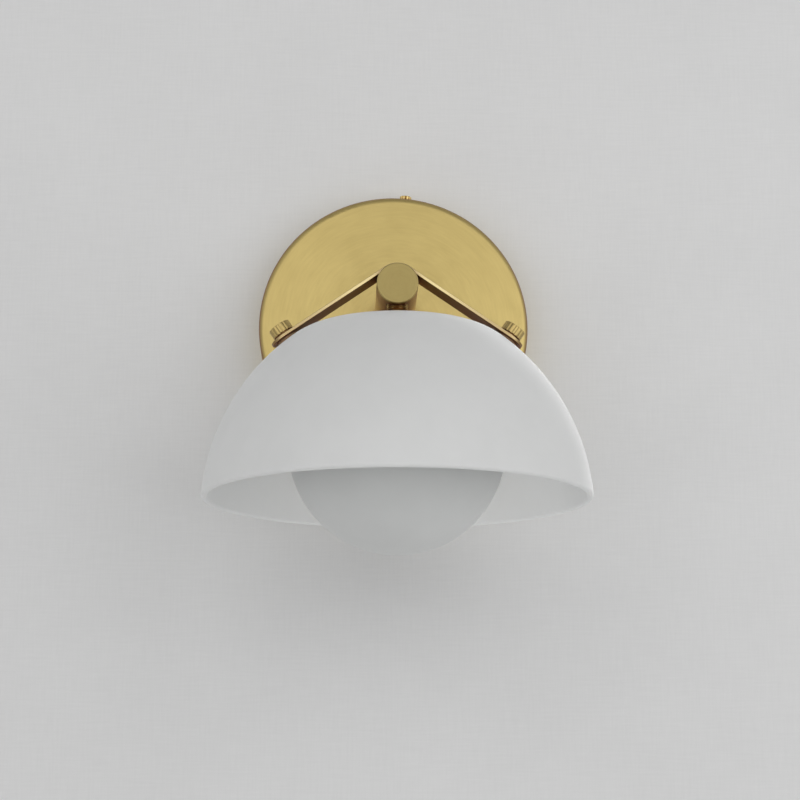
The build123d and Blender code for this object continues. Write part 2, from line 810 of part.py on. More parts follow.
with BuildPart() as lampholder:
    with BuildSketch(across(shade_centre, UP, holder_foot)):
        Circle(holder_radius)
    extrude(amount=holder_height)
    chamfer(edges().filter_by(GeomType.CIRCLE), holder_edge_chamfer)
    with BuildSketch(across(shade_centre, UP, holder_top)):
        for side in SIDES.values():
            with Locations((0, side * lead_half_spacing)):
                Circle(lead_radius)
    extrude(amount=-lead_in_holder, mode=Mode.SUBTRACT)
    with BuildSketch(across(shade_centre, UP, holder_foot)):
        for side in SIDES.values():
            with Locations((0, side * pin_spacing / 2)):
                Rectangle(pin_wire + 2 * pin_slot_clearance, pin_loop_width + 2 * pin_slot_clearance)
    extrude(amount=pin_length + pin_slot_clearance, mode=Mode.SUBTRACT)
    for side in SIDES.values():
        with BuildSketch(holder_screw_plane(side, holder_radius)):
            Circle(holder_screw_radius + running_clearance)
        extrude(amount=-holder_screw_reach - end_clearance, mode=Mode.SUBTRACT)
save(lampholder, "lampholder")

with BuildPart() as lampholder_screws:
    for side in SIDES.values():
        with BuildSketch(holder_screw_plane(side, bracket_radius)):
            Circle(holder_head_radius)
        extrude(amount=holder_head_height)
        with BuildSketch(holder_screw_plane(side, bracket_radius)):
            Circle(holder_screw_radius)
        extrude(amount=-bracket_thickness - holder_screw_reach)
save(lampholder_screws, "lampholder_screws")

with BuildPart() as lamp_pins:
    with BuildSketch(from_wall(shade_reach - pin_wire / 2)):
        for side in SIDES.values():
            with Locations((side * pin_spacing / 2, lamp_top)):
                SlotOverall(2 * pin_length, pin_loop_width, rotation=90)
                SlotOverall(
                    2 * (pin_length - pin_wire),
                    pin_loop_width - 2 * pin_wire,
                    rotation=90,
                    mode=Mode.SUBTRACT,
                )
        with Locations((0, lamp_top)):
            Rectangle(
                2 * pin_spacing,
                2 * pin_length,
                align=(Align.CENTER, Align.MAX),
                mode=Mode.SUBTRACT,
            )
    extrude(amount=pin_wire)
save(lamp_pins, "lamp_pins")

with BuildPart() as lamp_base:
    with BuildSketch(across(shade_centre, UP, lamp_neck)):
        RectangleRounded(lamp_base_thickness, lamp_base_width, lamp_base_round)
    extrude(amount=lamp_base_height)
save(lamp_base, "lamp_base")

with BuildPart() as lamp_envelope:
    with BuildSketch(along(shade_centre, UP)):
        with BuildLine():
            tip = JernArc((0, lamp_neck - lamp_length), (1, 0), lamp_radius, 90)
            Polyline(tip @ 1, (lamp_radius, lamp_neck), (0, lamp_neck), tip @ 0)
        make_face()
        with BuildLine():
            hollow = JernArc((0, lamp_neck - lamp_length + lamp_wall), (1, 0), lamp_radius - lamp_wall, 90)
            top = lamp_neck - lamp_wall
            Polyline(hollow @ 1, (lamp_radius - lamp_wall, top), (0, top), hollow @ 0)
        make_face(mode=Mode.SUBTRACT)
    revolve(axis=shade_axis)
save(lamp_envelope, "lamp_envelope")

# --------------------------------------------------------------------------------------------------
# Leads: up the stem, back through the post, and out to a connector at each side
# --------------------------------------------------------------------------------------------------

for name, side in {"live": 1, "neutral": -1}.items():
    with BuildPart() as lead:
        with BuildLine() as run:
            FilletPolyline(
                (side * lead_half_spacing, -shade_reach, holder_top - lead_in_holder),
                (side * lead_half_spacing, -shade_reach, 0),
                (side * lead_half_spacing, -lead_turn, 0),
                (side * (connector_start + connector_entry), -lead_turn, 0),
                radius=lead_elbow_radius,
            )
        with BuildSketch(across(Vector(run.line @ 0), UP)):
            Circle(lead_radius)
        sweep()
    save(lead, f"lead_{name}")

connector_taper = degrees(atan((connector_mouth_radius - connector_tip_radius) / connector_length))

with BuildPart() as wire_connectors:
    for side in SIDES.values():
        mouth = Plane(origin=(side * connector_start, -lead_turn, 0), x_dir=WALLWARD, z_dir=(side, 0, 0))
        with BuildSketch(mouth):
            Circle(connector_mouth_radius)
        extrude(amount=connector_length, taper=connector_taper)
        fillet(faces().sort_by(Axis((0, 0, 0), (side, 0, 0)))[-1].edges(), connector_tip_round)
        with BuildSketch(mouth):
            Circle(connector_bore_radius)
        extrude(amount=connector_entry + end_clearance, mode=Mode.SUBTRACT)
        with BuildSketch(mouth):
            with PolarLocations(connector_mouth_radius, connector_flutes):
                Circle(connector_flute_radius)
        extrude(amount=connector_length, mode=Mode.SUBTRACT)
save(wire_connectors, "wire_connectors")
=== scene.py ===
"""Finishes and small hardware for a wall light: brass canopy, post and yoke, opal glass dome and globe."""
import json
import math

import bpy
from bpy.props import FloatProperty, FloatVectorProperty, IntProperty, PointerProperty
from mathutils import Matrix, Vector


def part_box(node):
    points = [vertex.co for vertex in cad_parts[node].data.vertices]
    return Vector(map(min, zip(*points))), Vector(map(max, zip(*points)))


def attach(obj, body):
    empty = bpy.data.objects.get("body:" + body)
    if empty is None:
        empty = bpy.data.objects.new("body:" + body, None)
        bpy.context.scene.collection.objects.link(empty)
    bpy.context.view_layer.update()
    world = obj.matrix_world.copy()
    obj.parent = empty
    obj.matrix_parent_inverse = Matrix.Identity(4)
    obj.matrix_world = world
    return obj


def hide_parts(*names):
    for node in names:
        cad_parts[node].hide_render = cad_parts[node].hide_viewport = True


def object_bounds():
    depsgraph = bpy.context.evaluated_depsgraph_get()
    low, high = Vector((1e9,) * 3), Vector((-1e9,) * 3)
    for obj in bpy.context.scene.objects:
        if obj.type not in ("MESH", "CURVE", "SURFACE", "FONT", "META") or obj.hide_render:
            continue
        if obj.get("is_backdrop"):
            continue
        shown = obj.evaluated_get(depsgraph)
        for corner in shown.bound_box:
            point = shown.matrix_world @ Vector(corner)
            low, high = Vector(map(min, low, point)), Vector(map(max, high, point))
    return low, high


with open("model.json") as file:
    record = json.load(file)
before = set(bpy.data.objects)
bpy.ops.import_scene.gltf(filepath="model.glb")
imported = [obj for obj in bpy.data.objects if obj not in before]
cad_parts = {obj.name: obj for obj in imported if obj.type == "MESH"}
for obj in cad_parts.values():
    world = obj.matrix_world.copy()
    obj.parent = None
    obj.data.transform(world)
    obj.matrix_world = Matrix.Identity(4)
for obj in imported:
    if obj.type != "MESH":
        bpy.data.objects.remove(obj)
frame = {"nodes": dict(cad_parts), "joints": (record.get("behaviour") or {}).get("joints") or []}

bl_info = {
    "name": "Opal Dome Wall Light",
    "version": (1, 0, 0),
    "blender": (4, 5, 0),
    "location": "View3D > Sidebar > Wall Light",
    "description": "Finishes, threads and knurls for a brass wall light with an opal glass dome and globe",
    "category": "Add Mesh",
}

MM = 0.001
HAIR = 1e-7  # a length too small to matter, in metres
FULL_TURN = 2 * math.pi
SHARP_ANGLE = math.radians(40)  # a mesh edge that turns further than this stays crisp
UP = Vector((0, 0, 1))
WALLWARD = Vector((0, 1, 0))
SIDES = ("left", "right")
ENDS = ("top", "bottom")
JOINTS = {joint["name"]: joint for joint in frame["joints"]}

# Shader values that every metal shares.
MOST_NOISE = (0.3, 0.7)  # where nearly all values of a noise lie
LINE_SHADE = 0.20  # how far one brushed line goes towards the dark tone
SMUDGE_DULLING = 0.06  # roughness that a smudge adds
LINE_DULLING = 0.08  # roughness that a brushed line adds
MEAN_DULLING = 0.05  # what lines and smudges add on average
LINE_RELIEF = 0.02 * MM  # height of a brushed line
BRUSHED_ROUND = 0.25  # a quarter turn, so that highlights lie across lines that run round an axis
CUT_HIGHLIGHT_FACING = (0.6, 0.9)  # how squarely a cut edge faces front or back, for its bare brass and painted highlight
ROUNDING_TO_FRONT, ROUNDING_TO_SIDE = (0.88, 0.4), (0.02, 0.2)  # where a rounding fades out at each end; the rounding carries painted shade on the canopy and a painted highlight on the cap
PLATE_DARK, PLATE_PAINTED_SHADE = 0.72, 0.40  # tone of plated steel in its lines, and of its painted shade in corners and near other parts
COOL_GLASS = 0.965  # tone of opal glass where it was handled
SKIN_RELIEF = 0.03 * MM  # depth of the etching on opal glass
BRAID_STRANDS, BRAID_RELIEF = 7000.0, 0.06 * MM
WALL_RELIEF = 0.05 * MM

# How threads and grooves are cut.
THREAD_DEPTH = 0.54  # of the pitch
THREAD_FLANK = 1.15  # steepness of a thread's sides
CREST_SLACK = 0.01 * MM  # what lies further inside the crest isn't thread
ROWS_A_PITCH = 8
STEPS_A_GROOVE = 12
SIDE_RUN_OUT, THUMB_RUN_OUT = 0.3 * MM, 0.6 * MM  # plain shank left under a head

# The stage, in metres. Lamps are name, setting for the level, place and size.
LAMPS = (
    ("lamp_right", "key", (1.15, -1.6, 0.1), 2.0),
    ("lamp_left", "fill", (-1.0, -2.4, 0.1), 2.8),
    ("lamp_rear", "back", (0.3, 1.4, 0.5), 1.2),
)
LAMP_TARGET = Vector((0, -0.09, -0.04))
WALL_GAP = 0.2 * MM
STAGE_HALF_WIDTH, STAGE_NEAR, FLOOR_LEVEL, WALL_TOP = 3.0, -4.0, -1.5, 3.0
SENSOR_WIDTH = 36.0  # in millimetres


# --------------------------------------------------------------------------------------------------
# Settings
# --------------------------------------------------------------------------------------------------


def colour(name, description, value):
    """A colour setting."""
    return FloatVectorProperty(
        name=name, description=description, default=value, subtype="COLOR", size=3, min=0, max=1
    )


def share(name, description, value):
    """A setting from 0 to 1."""
    return FloatProperty(
        name=name, description=description, default=value, min=0, max=1, subtype="FACTOR"
    )


def length(name, description, millimetres):
    """A length setting, given in millimetres."""
    return FloatProperty(
        name=name, description=description, default=millimetres * MM, min=0, unit="LENGTH", precision=5
    )


def level(name, description, value):
    """A brightness setting."""
    return FloatProperty(name=name, description=description, default=value, min=0)


def number(name, description, value):
    """A whole-number setting."""
    return IntProperty(name=name, description=description, default=value, min=3)


class SconceFinishes(bpy.types.PropertyGroup):
    """Colours and roughness of the light's finishes"""

    brass: colour("Brass", "Lacquered satin brass", (0.65, 0.51, 0.20))
    brass_dark: colour("Brass lines", "Brass in its brushed lines", (0.46, 0.335, 0.13))
    # painted shade: the colour that corners and faces near other parts are darkened to
    brass_painted_shade: colour("Brass painted shade", "Brass darkened in its corners and near other parts, as painted shade", (0.21, 0.075, 0.035))
    # partly painted highlight: the yoke's cut edges, bare brass lightened for the light they catch
    brass_cut_edge_highlight: colour("Brass cut edges and highlight", "Brass on the sheared edges of the yoke, lightened as a painted highlight", (0.96, 0.80, 0.42))
    # painted shade: a dark tint on the canopy's rounded edge
    brass_rim_shade: colour("Brass rim shade", "Painted shade on the rounding of the canopy's edge", (0.30, 0.16, 0.09))
    # partly painted highlight: a bright tint on the cap's rounded edge, worn brass and the light it catches
    brass_worn_highlight: colour("Brass worn rim and highlight", "Bright brass round the cap's edge, worn and with a painted highlight", (0.95, 0.76, 0.36))
    brass_rough: share("Brass roughness", "How wide the brass spreads a reflection", 0.42)
    knob_rough: share("Knob roughness", "How wide the turned thumb screws spread a reflection", 0.34)
    zinc: colour("Zinc", "Bright zinc plate", (0.62, 0.63, 0.64))
    ground_green: colour("Ground green", "Green plate on the ground screw", (0.05, 0.26, 0.10))
    opal: colour("Opal glass", "White opal glass, acid etched", (0.765, 0.776, 0.77))
    opal_rough: share("Opal roughness", "How dull the etched glass is", 0.55)
    dome_depth: length("Dome depth", "How far light soaks into the dome's glass", 14.0)
    globe_depth: length("Globe depth", "How far light soaks into the globe's glass", 1.5)
    # painted shade: grommets and gaskets get a brown that stands for shade and warm reflections under the
    # yoke
    silicone: colour("Silicone", "Grommets and gaskets", (0.42, 0.25, 0.13))
    ceramic: colour("Ceramic", "Unglazed ceramic of the lampholder", (0.72, 0.69, 0.62))
    black_braid: colour("Black braid", "Sleeve of the live lead", (0.02, 0.02, 0.02))
    white_braid: colour("White braid", "Sleeve of the neutral lead", (0.70, 0.70, 0.68))
    connector: colour("Connector", "Orange plastic of the wire connectors", (0.75, 0.22, 0.03))
    tungsten: colour("Tungsten", "Filament and foils of the lamp", (0.30, 0.29, 0.28))


class SconceHardware(bpy.types.PropertyGroup):
    """Sizes of the small hardware that is turned, knurled and threaded"""

    edge_round: length("Edge round", "Rounding of the small pieces' edges", 0.12)
    thumb_head: length("Thumb head", "Height of a thumb screw's head", 4.3)
    thumb_shoulder: length("Thumb shoulder", "Height of the step under the head", 0.5)
    thumb_shoulder_radius: length("Thumb shoulder radius", "Radius of the step under the head", 4.3)
    thumb_shank_radius: length("Thumb shank radius", "Crest radius of the thumb screw's thread", 2.0)
    thumb_edge: length("Thumb edge", "Bevel round the head", 0.2)
    thumb_flutes: number("Thumb flutes", "Grooves round the head", 16)
    flute_radius: length("Flute radius", "Radius of one groove", 0.95)
    flute_depth: length("Flute depth", "Depth of one groove", 0.22)
    screw_pitch: length("Screw pitch", "Pitch of the thumb and canopy screws", 0.7)
    side_head: length("Canopy screw head", "Height of a canopy screw's head", 2.1)
    side_shank_radius: length("Canopy screw shank", "Crest radius of a canopy screw's thread", 1.75)
    side_edge: length("Canopy screw edge", "Bevel round the head", 0.3)
    knurls: number("Knurls", "Grooves round a canopy screw's head", 10)
    knurl_depth: length("Knurl depth", "Depth of one groove", 0.45)
    tube_pitch: length("Tube pitch", "Pitch of the threaded tube", 1.0)


class SconceStage(bpy.types.PropertyGroup):
    """Wall, floor, lamps and camera"""

    wall: colour("Wall", "Painted wall", (0.82, 0.82, 0.82))
    floor: colour("Floor", "Plain floor, as it throws light back", (0.55, 0.55, 0.545))
    floor_seen: colour("Floor to the eye", "Plain floor, as the eye and metal see it", (0.95, 0.95, 0.94))
    backdrop: colour("Backdrop", "The room, level with the light", (0.42, 0.42, 0.42))
    ceiling: colour("Ceiling", "The room, overhead and underfoot", (0.25, 0.25, 0.25))
    room: level("Room light", "Level of the even light all round", 0.40)
    key: level("Right lamp", "Level of the soft lamp at the right", 0.34)
    fill: level("Left lamp", "Level of the soft lamp at the left", 0.28)
    back: level("Rear lamp", "Level of the lamp behind the wall", 0.5)
    camera_place: FloatVectorProperty(
        name="Camera",
        description="Where the camera stands",
        default=(-0.02613, -1.3, -0.28906),
        subtype="XYZ",
        unit="LENGTH",
        size=3,
    )
    camera_yaw: FloatProperty(
        name="Camera yaw", description="Turn to the right", default=math.radians(1.314), subtype="ANGLE"
    )
    camera_pitch: FloatProperty(
        name="Camera pitch", description="Tilt upward", default=math.radians(11.178), subtype="ANGLE"
    )
    camera_lens: FloatProperty(
        name="Camera lens",
        description="Focal length on a 36 mm sensor, in millimetres",
        default=120.26,
        min=1,
    )


# --------------------------------------------------------------------------------------------------
# Node helpers
# --------------------------------------------------------------------------------------------------


def add_node(tree, kind, inputs=None, **settings):
    """A node with its settings, and its inputs set to values or linked to sockets."""
    node = tree.nodes.new(kind)
    for key, value in settings.items():
        setattr(node, key, value)
    for key, value in (inputs or {}).items():
        if isinstance(value, bpy.types.NodeSocket):
            tree.links.new(value, node.inputs[key])
        else:
            node.inputs[key].default_value = value
    return node


def maths(tree, operation, *values):
    """The result of a Math node."""
    return add_node(tree, "ShaderNodeMath", dict(enumerate(values)), operation=operation).outputs[0]


def vector_maths(tree, operation, *values, scale=None):
    """The result of a Vector Math node."""
    inputs = dict(enumerate(values))
    if scale is not None:
        inputs["Scale"] = scale
    node = add_node(tree, "ShaderNodeVectorMath", inputs, operation=operation)
    single = operation in {"LENGTH", "DOT_PRODUCT", "DISTANCE"}
    return node.outputs["Value" if single else "Vector"]


def noise(tree, vector, scale, detail=2.0, roughness=0.5):
    """A noise value over a vector."""
    inputs = {"Vector": vector, "Scale": scale, "Detail": detail, "Roughness": roughness}
    return add_node(tree, "ShaderNodeTexNoise", inputs).outputs[0]


def spread(tree, value, low, high, to_low=0.0, to_high=1.0):
    """A value mapped from one range to another, held within it."""
    inputs = {"Value": value, "From Min": low, "From Max": high, "To Min": to_low, "To Max": to_high}
    return add_node(tree, "ShaderNodeMapRange", inputs).outputs["Result"]


def blend_colours(tree, factor, first, second):
    """Two colours mixed by a factor."""
    node = add_node(tree, "ShaderNodeMix", data_type="RGBA")
    for socket, value in ((node.inputs[0], factor), (node.inputs[6], first), (node.inputs[7], second)):
        if isinstance(value, bpy.types.NodeSocket):
            tree.links.new(value, socket)
        else:
            socket.default_value = value
    return node.outputs[2]


def seen_rays(tree):
    """1 for the rays that reach the eye straight, by reflection or through glass, and 0 for all others."""
    path = add_node(tree, "ShaderNodeLightPath")
    seen = maths(tree, "MAXIMUM", path.outputs["Is Camera Ray"], path.outputs["Is Transmission Ray"])
    return maths(tree, "MAXIMUM", seen, path.outputs["Is Glossy Ray"])


def object_place(tree):
    """Where a point of the surface is, in metres."""
    return add_node(tree, "ShaderNodeTexCoord").outputs["Object"]


def opaque(rgb):
    """A colour with its alpha."""
    return (*rgb, 1.0)


def new_group(name, inputs, outputs):
    """An empty shader group with its sockets. Inputs are (name, type, default)."""
    tree = bpy.data.node_groups.new(name, "ShaderNodeTree")
    for label, kind, default in inputs:
        socket = tree.interface.new_socket(label, in_out="INPUT", socket_type=kind)
        socket.default_value = default
    for label, kind in outputs:
        tree.interface.new_socket(label, in_out="OUTPUT", socket_type=kind)
    return tree, tree.nodes.new("NodeGroupInput"), tree.nodes.new("NodeGroupOutput")


def turned_grain():
    """Fine arcs round an axis, as left by brushing a piece while it spins."""
    name = "Turned grain"
    if name in bpy.data.node_groups:
        return bpy.data.node_groups[name]
    tree, given, result = new_group(
        name,
        [
            ("Centre", "NodeSocketVector", (0, 0, 0)),
            ("Axis", "NodeSocketVector", (0, 1, 0)),
            ("Lines", "NodeSocketFloat", 1500.0),
            ("Streaks", "NodeSocketFloat", 2.0),
        ],
        [("Height", "NodeSocketFloat"), ("Tone", "NodeSocketFloat")],
    )
    place = object_place(tree)
    offset = vector_maths(tree, "SUBTRACT", place, given.outputs["Centre"])
    along = vector_maths(tree, "DOT_PRODUCT", offset, given.outputs["Axis"])
    lengthways = vector_maths(tree, "SCALE", given.outputs["Axis"], scale=along)
    across = vector_maths(tree, "SUBTRACT", offset, lengthways)
    radius = vector_maths(tree, "LENGTH", across)
    round_part = vector_maths(tree, "NORMALIZE", across)
    round_part = vector_maths(tree, "SCALE", round_part, scale=given.outputs["Streaks"])
    step = maths(tree, "MULTIPLY", maths(tree, "ADD", radius, along), given.outputs["Lines"])
    out_part = vector_maths(tree, "SCALE", given.outputs["Axis"], scale=step)
    grain = vector_maths(tree, "ADD", round_part, out_part)
    tree.links.new(noise(tree, grain, 1.0, 3.0, 0.6), result.inputs["Height"])
    tree.links.new(noise(tree, grain, 0.27, 2.0, 0.5), result.inputs["Tone"])
    return tree


def drawn_grain():
    """Fine straight lines, as left by a belt drawn along a bar, or along both arms of a bent one."""
    name = "Drawn grain"
    if name in bpy.data.node_groups:
        return bpy.data.node_groups[name]
    tree, given, result = new_group(
        name,
        [
            ("Slope", "NodeSocketFloat", 0.0),
            ("Stretch", "NodeSocketVector", (60, 1500, 1500)),
        ],
        [("Height", "NodeSocketFloat"), ("Tone", "NodeSocketFloat")],
    )
    place = object_place(tree)
    parts = add_node(tree, "ShaderNodeSeparateXYZ", {"Vector": place})
    mirrored = add_node(
        tree,
        "ShaderNodeCombineXYZ",
        {
            "X": maths(tree, "ABSOLUTE", parts.outputs["X"]),
            "Y": parts.outputs["Y"],
            "Z": parts.outputs["Z"],
        },
    ).outputs[0]
    turned = add_node(
        tree,
        "ShaderNodeVectorRotate",
        {"Vector": mirrored, "Angle": given.outputs["Slope"]},
        rotation_type="Y_AXIS",
    ).outputs[0]
    grain = vector_maths(tree, "MULTIPLY", turned, given.outputs["Stretch"])
    tree.links.new(noise(tree, grain, 1.0, 3.0, 0.6), result.inputs["Height"])
    tree.links.new(noise(tree, grain, 0.3, 2.0, 0.5), result.inputs["Tone"])
    return tree


def smudge_and_painted_shade():
    """Soft smudges left by hands, and a mask of painted shade that darkens corners and faces near other
    parts.
    """
    name = "Handling"
    if name in bpy.data.node_groups:
        return bpy.data.node_groups[name]
    tree, given, result = new_group(
        name,
        [("Smudge Size", "NodeSocketFloat", 0.012), ("Painted Shade Reach", "NodeSocketFloat", 0.002)],
        [("Smudge", "NodeSocketFloat"), ("Painted Shade", "NodeSocketFloat")],
    )
    place = object_place(tree)
    scale = maths(tree, "DIVIDE", 1.0, given.outputs["Smudge Size"])
    cloud = noise(tree, place, scale, 4.0, 0.55)
    tree.links.new(spread(tree, cloud, 0.38, 0.68), result.inputs["Smudge"])
    # painted shade: ambient occlusion finds corners and faces near other parts, to be darkened
    nearby = add_node(tree, "ShaderNodeAmbientOcclusion", samples=4)
    tree.links.new(given.outputs["Painted Shade Reach"], nearby.inputs["Distance"])
    tree.links.new(spread(tree, nearby.outputs["AO"], 1.0, 0.35), result.inputs["Painted Shade"])
    return tree


def new_material(name):
    """A material with its tree and shader."""
    made = bpy.data.materials.new(name)
    made.use_nodes = True
    return made, made.node_tree, made.node_tree.nodes["Principled BSDF"]


def place_group(tree, group, inputs):
    """A group placed in a material with its own values."""
    node = tree.nodes.new("ShaderNodeGroup")
    node.node_tree = group
    for key, value in inputs.items():
        node.inputs[key].default_value = value
    return node


def bump(tree, shader, height, strength, distance):
    """Feeds a height to a shader's normal."""
    inputs = {"Height": height, "Strength": strength, "Distance": distance}
    node = add_node(tree, "ShaderNodeBump", inputs)
    tree.links.new(node.outputs["Normal"], shader.inputs["Normal"])


def brushed_metal(name, light, dark, painted_shade_tint, rough, grain, values, reach=2.0, strength=0.25, clouds=0.16,
                  anisotropy=0.0, around=None, edge=None, rim=None):
    """A brushed and lacquered metal: grain in its tone, roughness and relief, smudges, and painted shade in
    corners and near other parts, within reach millimetres. around is the axis of a turned piece, edge the
    colour of cut edges that face front and back, lightened as a painted highlight, and rim the colour painted
    on the rounding between front and side, as painted shade on the canopy and a painted highlight and wear on
    the cap."""
    made, tree, shader = new_material(name)
    lines = place_group(tree, grain, values)
    smudges_and_shade = place_group(tree, smudge_and_painted_shade(), {"Painted Shade Reach": reach * MM})
    toned = spread(tree, lines.outputs["Tone"], *MOST_NOISE, 0.0, clouds)
    fine = spread(tree, lines.outputs["Height"], *MOST_NOISE, 0.0, LINE_SHADE)
    face = blend_colours(tree, maths(tree, "ADD", toned, fine), opaque(light), opaque(dark))
    if edge or rim:
        normal = add_node(tree, "ShaderNodeNewGeometry").outputs["Normal"]
        facing = maths(tree, "ABSOLUTE", vector_maths(tree, "DOT_PRODUCT", normal, WALLWARD))
    if edge:
        # cut edges that face front or back get a bright colour: bare brass and a painted highlight
        face = blend_colours(tree, spread(tree, facing, *CUT_HIGHLIGHT_FACING), face, opaque(edge))
    if rim:
        # the rounding between front and side gets a painted colour: painted shade on the canopy, a painted
        # highlight on the cap
        to_front, to_side = (spread(tree, facing, *ends) for ends in (ROUNDING_TO_FRONT, ROUNDING_TO_SIDE))
        rounded = maths(tree, "MULTIPLY", to_front, to_side)
        face = blend_colours(tree, rounded, face, opaque(rim))
    # painted shade: corners and faces near other parts are darkened towards the shade colour
    tint = blend_colours(tree, smudges_and_shade.outputs["Painted Shade"], face, opaque(painted_shade_tint))
    tree.links.new(tint, shader.inputs["Base Color"])
    dulled = maths(tree, "MULTIPLY", smudges_and_shade.outputs["Smudge"], SMUDGE_DULLING)
    dulled = maths(tree, "ADD", dulled, rough - MEAN_DULLING)
    varied = maths(tree, "ADD", dulled, maths(tree, "MULTIPLY", lines.outputs["Height"], LINE_DULLING))
    tree.links.new(varied, shader.inputs["Roughness"])
    shader.inputs["Metallic"].default_value = 1.0
    shader.inputs["Anisotropic"].default_value = anisotropy
    if around:
        tangent = add_node(tree, "ShaderNodeTangent", direction_type="RADIAL", axis=around)
        tree.links.new(tangent.outputs[0], shader.inputs["Tangent"])
        shader.inputs["Anisotropic Rotation"].default_value = BRUSHED_ROUND
    bump(tree, shader, lines.outputs["Height"], strength, LINE_RELIEF)
    return made


def brass(name, grain, values, tone=1.0, warmth=0.0, rough=None, **extra):
    """Satin brass with one kind of grain. tone below 1 is deeper, and warmth takes away its green."""
    looks = bpy.context.scene.sconce_finishes
    tones = (tone, tone * (1 - warmth), tone * (1 - warmth))
    light = tuple(amount * part for amount, part in zip(tones, looks.brass))
    dark = tuple(amount * part for amount, part in zip(tones, looks.brass_dark))
    rough = rough or looks.brass_rough
    return brushed_metal(name, light, dark, looks.brass_painted_shade, rough, grain, values, **extra)


def brass_turned(name, centre, axis, **extra):
    """Satin brass brushed round an axis."""
    values = {"Centre": tuple(centre), "Axis": tuple(axis)}
    values.update(extra.pop("values", {}))
    return brass(name, turned_grain(), values, **extra)


def plate(name, light, rough, stretch):
    """Plated steel, faintly clouded."""
    dark = tuple(PLATE_DARK * part for part in light)
    painted_shade_tint = tuple(PLATE_PAINTED_SHADE * part for part in light)
    values = {"Stretch": stretch}
    return brushed_metal(name, light, dark, painted_shade_tint, rough, drawn_grain(), values, strength=0.15)


def zinc_plate(name):
    """Bright zinc plate."""
    looks = bpy.context.scene.sconce_finishes
    return plate(name, tuple(looks.zinc), 0.34, (500, 500, 900))


def satin_glass(name, ripple, depth):
    """White opal glass with an etched skin. Light soaks in to a depth, and the skin is faintly uneven."""
    looks = bpy.context.scene.sconce_finishes
    made, tree, shader = new_material(name)
    smudges_and_shade = place_group(tree, smudge_and_painted_shade(), {"Smudge Size": 0.03, "Painted Shade Reach": 0.003})
    base = opaque(looks.opal)
    cool = opaque(tuple(COOL_GLASS * part for part in looks.opal))
    tree.links.new(blend_colours(tree, smudges_and_shade.outputs["Smudge"], base, cool), shader.inputs["Base Color"])
    duller = maths(tree, "MULTIPLY_ADD", smudges_and_shade.outputs["Smudge"], 0.06, looks.opal_rough - 0.03)
    tree.links.new(duller, shader.inputs["Roughness"])
    shader.inputs["Subsurface Weight"].default_value = 1.0
    shader.inputs["Subsurface Radius"].default_value = (1.0, 1.0, 1.0)
    shader.inputs["Subsurface Scale"].default_value = depth
    shader.inputs["IOR"].default_value = 1.5
    place = object_place(tree)
    fine = noise(tree, place, 2600.0, 2.0, 0.6)
    broad = noise(tree, place, 45.0, 1.0, 0.5)
    height = maths(tree, "MULTIPLY_ADD", broad, ripple, fine)
    bump(tree, shader, height, 0.12, SKIN_RELIEF)
    return made


def clear_glass(name):
    """Clear hard glass of the lamp."""
    made, tree, shader = new_material(name)
    smudges_and_shade = place_group(tree, smudge_and_painted_shade(), {"Smudge Size": 0.006})
    shader.inputs["Transmission Weight"].default_value = 1.0
    shader.inputs["IOR"].default_value = 1.47
    tree.links.new(spread(tree, smudges_and_shade.outputs["Smudge"], 0, 1, 0.02, 0.08), shader.inputs["Roughness"])
    shader.inputs["Base Color"].default_value = (0.96, 0.97, 0.97, 1)
    return made


def speckled(name, base, rough, speck_size, contrast, soak=0.0, relief=0.05 * MM):
    """A dull moulded or fired surface with a fine speckle, and painted shade in its corners."""
    made, tree, shader = new_material(name)
    place = object_place(tree)
    speck = noise(tree, place, 1.0 / speck_size, 3.0, 0.65)
    smudges_and_shade = place_group(tree, smudge_and_painted_shade(), {"Smudge Size": 0.008, "Painted Shade Reach": 0.0015})
    dark = tuple(part * (1 - contrast) for part in base)
    # the speckle and the painted shade in corners both darken the base
    shade = maths(tree, "MAXIMUM", spread(tree, speck, 0.35, 0.65), smudges_and_shade.outputs["Painted Shade"])
    tree.links.new(blend_colours(tree, shade, opaque(base), opaque(dark)), shader.inputs["Base Color"])
    tree.links.new(spread(tree, speck, *MOST_NOISE, rough - 0.08, rough + 0.08), shader.inputs["Roughness"])
    shader.inputs["Subsurface Weight"].default_value = soak
    shader.inputs["Subsurface Scale"].default_value = 1.5 * MM
    bump(tree, shader, speck, 0.3, relief)
    return made


def braided(name, base):
    """A braided sleeve: two sets of strands that cross."""
    made, tree, shader = new_material(name)
    place = object_place(tree)
    strands = []
    for tilt in (1, -1):
        turned = vector_maths(tree, "DOT_PRODUCT", place, (1.0, tilt, 1.0))
        strands.append(maths(tree, "SINE", maths(tree, "MULTIPLY", turned, BRAID_STRANDS)))
    weave = maths(tree, "MAXIMUM", *strands)
    lit = spread(tree, weave, -1, 1)
    dark = tuple(0.45 * part for part in base)
    tree.links.new(blend_colours(tree, lit, opaque(dark), opaque(base)), shader.inputs["Base Color"])
    shader.inputs["Roughness"].default_value = 0.6
    shader.inputs["Sheen Weight"].default_value = 0.3
    bump(tree, shader, weave, 0.6, BRAID_RELIEF)
    return made


# --------------------------------------------------------------------------------------------------
# Mesh helpers
# --------------------------------------------------------------------------------------------------


def basis(axis):
    """Rotation whose z is an axis and whose x points to the wall, or up where the axis does."""
    z = Vector(axis).normalized()
    x = WALLWARD if abs(z.dot(WALLWARD)) < 0.9 else UP
    x = (x - z * x.dot(z)).normalized()
    return Matrix((x, z.cross(x), z)).transposed()


